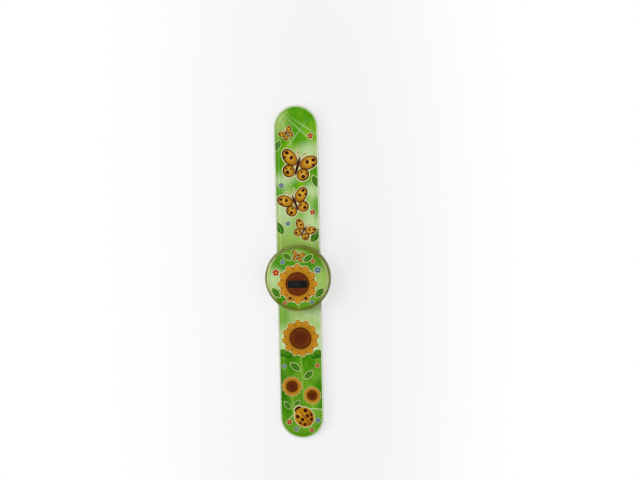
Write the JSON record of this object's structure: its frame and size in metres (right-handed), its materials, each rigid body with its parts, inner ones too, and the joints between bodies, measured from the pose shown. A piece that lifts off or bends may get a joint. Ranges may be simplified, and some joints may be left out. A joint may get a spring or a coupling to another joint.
{
  "type": "toy slap watch",
  "caption": "Toy slap watch: round digital watch head with a small display and push buttons, clamped to a straight spring-steel band in a printed sleeve that curls round a wrist.",
  "frame": {"origin": "centre of the watch head, on the flat wrist side of the plate that the watch lies on", "axes": "+X across the band to the wearer's right as the face is read, +Y along the straight band to its upper tip, +Z out of the watch face"},
  "size_m": [0.044, 0.225, 0.0117],
  "materials": {
    "case_plastic": "glossy moulded",
    "face_print": "glossy printed film",
    "lens_acrylic": "clear",
    "polariser_film": "dark clear film",
    "display_glass": "polished",
    "reflector_film": "satin",
    "frame_plastic": "moulded",
    "connector_rubber": "matt",
    "board_laminate": "solder mask",
    "chip_resin": "cured resin",
    "crystal_metal": "drawn can",
    "capacitor_ceramic": "fired",
    "cell_steel": "nickel plated",
    "contact_metal": "stamped strip",
    "dome_steel": "stamped",
    "button_plastic": "moulded",
    "screw_steel": "zinc plated",
    "sleeve_vinyl": "glossy printed vinyl",
    "spring_steel": "rolled strip"
  },
  "bodies": {
    "head": {"case_base": "case_plastic", "case_front": "case_plastic", "strap_plate": "case_plastic", "face_label": "face_print", "window_lens": "lens_acrylic", "lcd_polariser": "polariser_film", "lcd_glass": "display_glass", "lcd_reflector": "reflector_film", "module_frame": "frame_plastic", "zebra_strips": "connector_rubber", "circuit_board": "board_laminate", "chip_blob": "chip_resin", "crystal_can": "crystal_metal", "chip_capacitors": "capacitor_ceramic", "button_cell": "cell_steel", "cell_clip": "contact_metal", "cell_spring": "contact_metal", "set_dome": "dome_steel", "time_dome": "dome_steel", "board_screws": "screw_steel", "case_screws": "screw_steel", "strap_screws": "screw_steel", "mid_sleeve": "sleeve_vinyl", "mid_spring": "spring_steel"},
    "upper_link_1": {"upper_sleeve_1": "sleeve_vinyl", "upper_spring_1": "spring_steel"},
    "upper_link_2": {"upper_sleeve_2": "sleeve_vinyl", "upper_spring_2": "spring_steel"},
    "upper_link_3": {"upper_sleeve_3": "sleeve_vinyl", "upper_spring_3": "spring_steel"},
    "upper_link_4": {"upper_sleeve_4": "sleeve_vinyl", "upper_spring_4": "spring_steel"},
    "upper_link_5": {"upper_sleeve_5": "sleeve_vinyl", "upper_spring_5": "spring_steel"},
    "upper_link_6": {"upper_sleeve_6": "sleeve_vinyl", "upper_spring_6": "spring_steel"},
    "upper_link_7": {"upper_sleeve_7": "sleeve_vinyl", "upper_spring_7": "spring_steel"},
    "upper_link_8": {"upper_sleeve_8": "sleeve_vinyl", "upper_spring_8": "spring_steel"},
    "lower_link_1": {"lower_sleeve_1": "sleeve_vinyl", "lower_spring_1": "spring_steel"},
    "lower_link_2": {"lower_sleeve_2": "sleeve_vinyl", "lower_spring_2": "spring_steel"},
    "lower_link_3": {"lower_sleeve_3": "sleeve_vinyl", "lower_spring_3": "spring_steel"},
    "lower_link_4": {"lower_sleeve_4": "sleeve_vinyl", "lower_spring_4": "spring_steel"},
    "lower_link_5": {"lower_sleeve_5": "sleeve_vinyl", "lower_spring_5": "spring_steel"},
    "lower_link_6": {"lower_sleeve_6": "sleeve_vinyl", "lower_spring_6": "spring_steel"},
    "lower_link_7": {"lower_sleeve_7": "sleeve_vinyl", "lower_spring_7": "spring_steel"},
    "lower_link_8": {"lower_sleeve_8": "sleeve_vinyl", "lower_spring_8": "spring_steel"},
    "set_button": {"set_button": "button_plastic"},
    "time_button": {"time_button": "button_plastic"}
  },
  "joints": [
    {"name": "upper_curl", "type": "hinge", "parent": "head", "child": "upper_link_1", "pos_m": [0, 0.01, 0.00163], "axis": [-1, 0, 0], "range_deg": [0, 26]},
    {"name": "upper_bend_2", "type": "hinge", "parent": "upper_link_1", "child": "upper_link_2", "pos_m": [0, 0.02306, 0.00163], "axis": [-1, 0, 0], "range_deg": [0, 26]},
    {"name": "upper_bend_3", "type": "hinge", "parent": "upper_link_2", "child": "upper_link_3", "pos_m": [0, 0.03612, 0.00163], "axis": [-1, 0, 0], "range_deg": [0, 26]},
    {"name": "upper_bend_4", "type": "hinge", "parent": "upper_link_3", "child": "upper_link_4", "pos_m": [0, 0.04919, 0.00163], "axis": [-1, 0, 0], "range_deg": [0, 26]},
    {"name": "upper_bend_5", "type": "hinge", "parent": "upper_link_4", "child": "upper_link_5", "pos_m": [0, 0.06225, 0.00163], "axis": [-1, 0, 0], "range_deg": [0, 26]},
    {"name": "upper_bend_6", "type": "hinge", "parent": "upper_link_5", "child": "upper_link_6", "pos_m": [0, 0.07531, 0.00163], "axis": [-1, 0, 0], "range_deg": [0, 26]},
    {"name": "upper_bend_7", "type": "hinge", "parent": "upper_link_6", "child": "upper_link_7", "pos_m": [0, 0.08837, 0.00163], "axis": [-1, 0, 0], "range_deg": [0, 26]},
    {"name": "upper_bend_8", "type": "hinge", "parent": "upper_link_7", "child": "upper_link_8", "pos_m": [0, 0.10144, 0.00163], "axis": [-1, 0, 0], "range_deg": [0, 26]},
    {"name": "lower_curl", "type": "hinge", "parent": "head", "child": "lower_link_1", "pos_m": [0, -0.01, 0.00163], "axis": [1, 0, 0], "range_deg": [0, 30]},
    {"name": "lower_bend_2", "type": "hinge", "parent": "lower_link_1", "child": "lower_link_2", "pos_m": [0, -0.02256, 0.00163], "axis": [1, 0, 0], "range_deg": [0, 30]},
    {"name": "lower_bend_3", "type": "hinge", "parent": "lower_link_2", "child": "lower_link_3", "pos_m": [0, -0.03513, 0.00163], "axis": [1, 0, 0], "range_deg": [0, 30]},
    {"name": "lower_bend_4", "type": "hinge", "parent": "lower_link_3", "child": "lower_link_4", "pos_m": [0, -0.04769, 0.00163], "axis": [1, 0, 0], "range_deg": [0, 30]},
    {"name": "lower_bend_5", "type": "hinge", "parent": "lower_link_4", "child": "lower_link_5", "pos_m": [0, -0.06025, 0.00163], "axis": [1, 0, 0], "range_deg": [0, 30]},
    {"name": "lower_bend_6", "type": "hinge", "parent": "lower_link_5", "child": "lower_link_6", "pos_m": [0, -0.07281, 0.00163], "axis": [1, 0, 0], "range_deg": [0, 30]},
    {"name": "lower_bend_7", "type": "hinge", "parent": "lower_link_6", "child": "lower_link_7", "pos_m": [0, -0.08538, 0.00163], "axis": [1, 0, 0], "range_deg": [0, 30]},
    {"name": "lower_bend_8", "type": "hinge", "parent": "lower_link_7", "child": "lower_link_8", "pos_m": [0, -0.09794, 0.00163], "axis": [1, 0, 0], "range_deg": [0, 30]},
    {"name": "set_press", "type": "slide", "parent": "head", "child": "set_button", "axis": [0, 0, -1], "range_m": [0, 0.00035], "stiffness_N_per_m": 2500, "springref_m": -0.0001, "deforming": ["set_dome"]},
    {"name": "time_press", "type": "slide", "parent": "head", "child": "time_button", "axis": [0, 0, -1], "range_m": [0, 0.00035], "stiffness_N_per_m": 2500, "springref_m": -0.0001, "deforming": ["time_dome"]}
  ],
  "couplings": [
    {"joint": "upper_bend_2", "follows": "upper_curl", "ratio": 1},
    {"joint": "upper_bend_3", "follows": "upper_curl", "ratio": 1},
    {"joint": "upper_bend_4", "follows": "upper_curl", "ratio": 1},
    {"joint": "upper_bend_5", "follows": "upper_curl", "ratio": 1},
    {"joint": "upper_bend_6", "follows": "upper_curl", "ratio": 1},
    {"joint": "upper_bend_7", "follows": "upper_curl", "ratio": 1},
    {"joint": "upper_bend_8", "follows": "upper_curl", "ratio": 1},
    {"joint": "lower_bend_2", "follows": "lower_curl", "ratio": 1},
    {"joint": "lower_bend_3", "follows": "lower_curl", "ratio": 1},
    {"joint": "lower_bend_4", "follows": "lower_curl", "ratio": 1},
    {"joint": "lower_bend_5", "follows": "lower_curl", "ratio": 1},
    {"joint": "lower_bend_6", "follows": "lower_curl", "ratio": 1},
    {"joint": "lower_bend_7", "follows": "lower_curl", "ratio": 1},
    {"joint": "lower_bend_8", "follows": "lower_curl", "ratio": 1}
  ]
}
